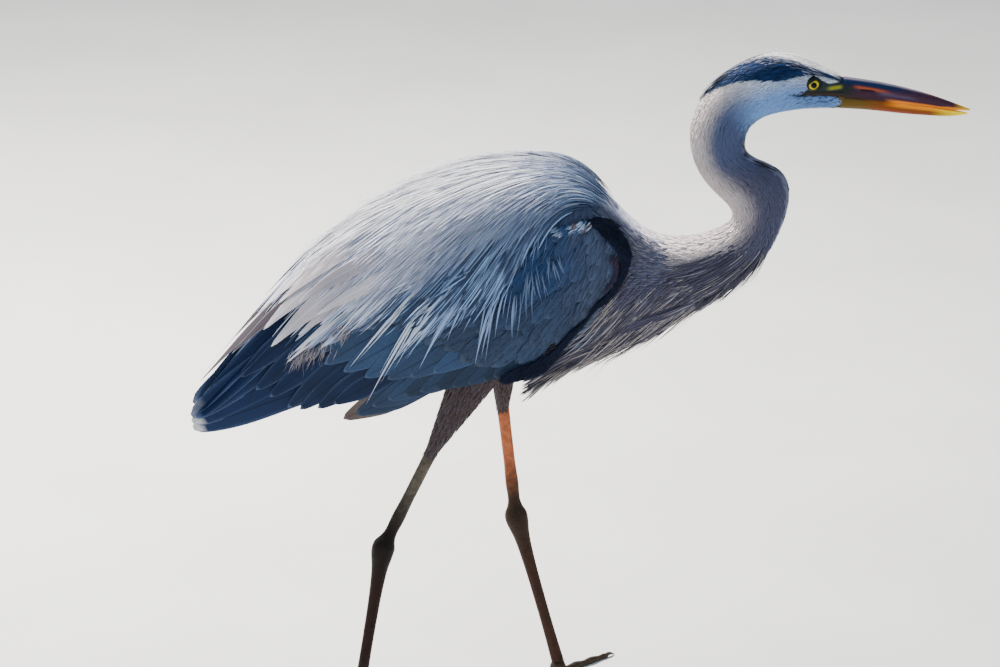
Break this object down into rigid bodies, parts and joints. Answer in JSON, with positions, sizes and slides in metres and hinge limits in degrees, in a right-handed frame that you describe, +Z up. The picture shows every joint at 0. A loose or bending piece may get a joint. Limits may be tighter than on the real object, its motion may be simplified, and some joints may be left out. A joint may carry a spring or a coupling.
{
  "type": "great blue heron",
  "caption": "Great blue heron standing mid-stride with its neck in an S, a still life-size display model that rests on its own feet.",
  "frame": {"origin": "on the floor under the middle of the bird's plan", "axes": "+X towards the bill's tip, +Y to the bird's left side, +Z up"},
  "size_m": [0.8534, 0.24, 0.7429],
  "materials": {
    "face_white": "short white feathers of the face and crown, matt",
    "crest_black": "black crown plumes with a slight blue sheen",
    "neck_mauve": "short mauve-grey neck feathers, matt",
    "breast_plumes": "long narrow grey and cream plumes, matt",
    "body_slate": "dense slate-grey body feathers, matt",
    "plume_silver": "long silvery-grey lance-shaped plumes with pale edges",
    "covert_slate": "smooth blue-grey wing coverts, satin",
    "flight_navy": "dark slate flight and tail feathers with pale edges, satin",
    "tertial_grey": "broad warm-grey tertials with worn ends, matt",
    "thigh_brown": "short brownish thigh feathers, matt",
    "leg_skin": "scaly brown skin, satin",
    "claw_horn": "dark horn, satin",
    "bill_dusky": "dusky horn with an orange streak and yellow tip, satin",
    "bill_yellow": "yellow-orange horn, satin",
    "eye_yellow": "yellow iris and black pupil, glossy"
  },
  "bodies": {
    "root": {"bill_lower": "bill_yellow", "bill_upper": "bill_dusky", "breast_plumes": "breast_plumes", "claw_hind_left": "claw_horn", "claw_hind_right": "claw_horn", "claw_inner_left": "claw_horn", "claw_inner_right": "claw_horn", "claw_middle_left": "claw_horn", "claw_middle_right": "claw_horn", "claw_outer_left": "claw_horn", "claw_outer_right": "claw_horn", "crest_left": "crest_black", "crest_right": "crest_black", "eye_left": "eye_yellow", "eye_right": "eye_yellow", "foot_pad_left": "leg_skin", "foot_pad_right": "leg_skin", "head": "face_white", "neck_bend": "neck_mauve", "neck_lower": "neck_mauve", "neck_middle": "neck_mauve", "neck_upper": "neck_mauve", "primaries_left": "flight_navy", "primaries_right": "flight_navy", "scapulars_left": "plume_silver", "scapulars_right": "plume_silver", "secondaries_left": "flight_navy", "secondaries_right": "flight_navy", "shank_left": "leg_skin", "shank_right": "leg_skin", "tail": "flight_navy", "tarsus_left": "leg_skin", "tarsus_right": "leg_skin", "tertials_left": "tertial_grey", "tertials_right": "tertial_grey", "thigh_left": "thigh_brown", "thigh_right": "thigh_brown", "toe_hind_left": "leg_skin", "toe_hind_right": "leg_skin", "toe_inner_left": "leg_skin", "toe_inner_right": "leg_skin", "toe_middle_left": "leg_skin", "toe_middle_right": "leg_skin", "toe_outer_left": "leg_skin", "toe_outer_right": "leg_skin", "trunk": "body_slate", "wing_left": "covert_slate", "wing_right": "covert_slate"}
  },
  "joints": []
}
